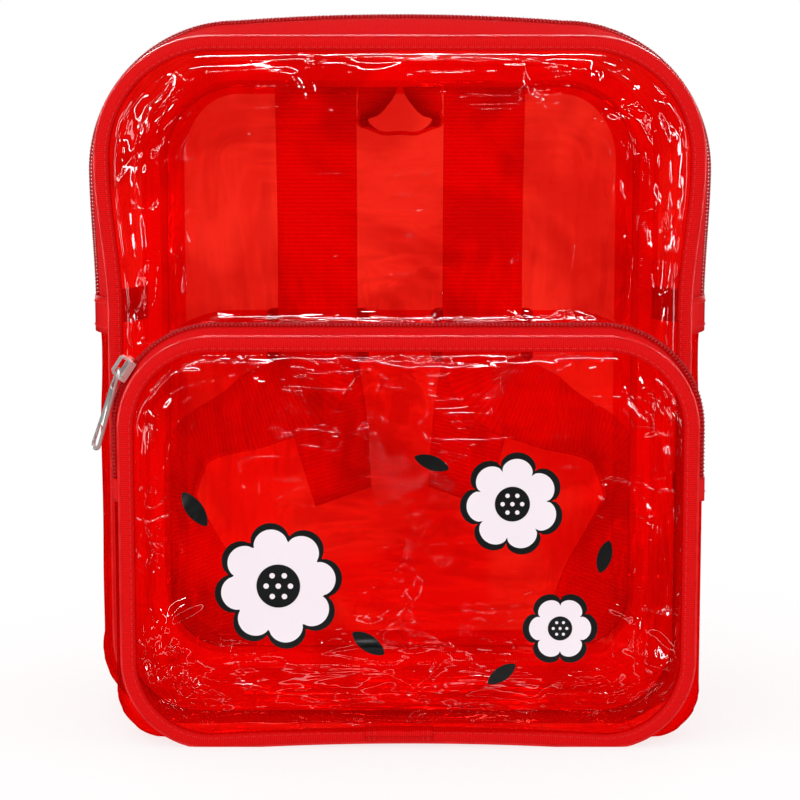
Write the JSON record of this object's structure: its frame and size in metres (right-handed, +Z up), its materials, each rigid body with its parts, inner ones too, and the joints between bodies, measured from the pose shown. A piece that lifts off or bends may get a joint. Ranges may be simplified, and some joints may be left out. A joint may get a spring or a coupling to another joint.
{
  "type": "clear backpack",
  "caption": "Child's see-through film backpack with rounded corners, front zip pocket, webbing shoulder straps and a carrying loop.",
  "frame": {"origin": "on the floor, under the middle of the main body between its front and back seams", "axes": "+Z up, -Y out of the front pocket, +X to the right as seen from the front"},
  "size_m": [0.271, 0.1832, 0.307],
  "materials": {
    "film": "glossy tinted soft vinyl film",
    "binding": "ribbed woven tape",
    "tape": "woven zip tape",
    "coil": "nylon zip coil",
    "webbing": "flat woven webbing",
    "moulded": "moulded acetal",
    "metal": "satin nickel"
  },
  "bodies": {
    "bag": {"front_panel": "film", "back_panel": "film", "zip_strip_rear": "film", "lower_gusset": "film", "zip_tab_left": "film", "zip_tab_right": "film", "pocket_panel": "film", "pocket_strip_rear": "film", "pocket_gusset": "film", "front_binding": "binding", "back_binding": "binding", "pocket_binding": "binding", "zip_tape_front": "tape", "zip_tape_rear": "tape", "pocket_tape_front": "tape", "pocket_tape_rear": "tape", "zip_coil": "coil", "pocket_coil": "coil", "shoulder_strap_left": "webbing", "shoulder_strap_right": "webbing", "lower_strap_left": "webbing", "lower_strap_right": "webbing", "carrying_loop": "webbing", "strap_adjuster_left": "moulded", "strap_adjuster_right": "moulded", "pocket_slider": "metal"},
    "pull": {"pocket_pull": "metal"}
  },
  "joints": [
    {"name": "pull_swing", "type": "hinge", "parent": "bag", "child": "pull", "pos_m": [-0.11726, -0.06938, 0.157], "axis": [-0.2038, 0.9548, 0.2165], "range_deg": [0, 150]}
  ]
}
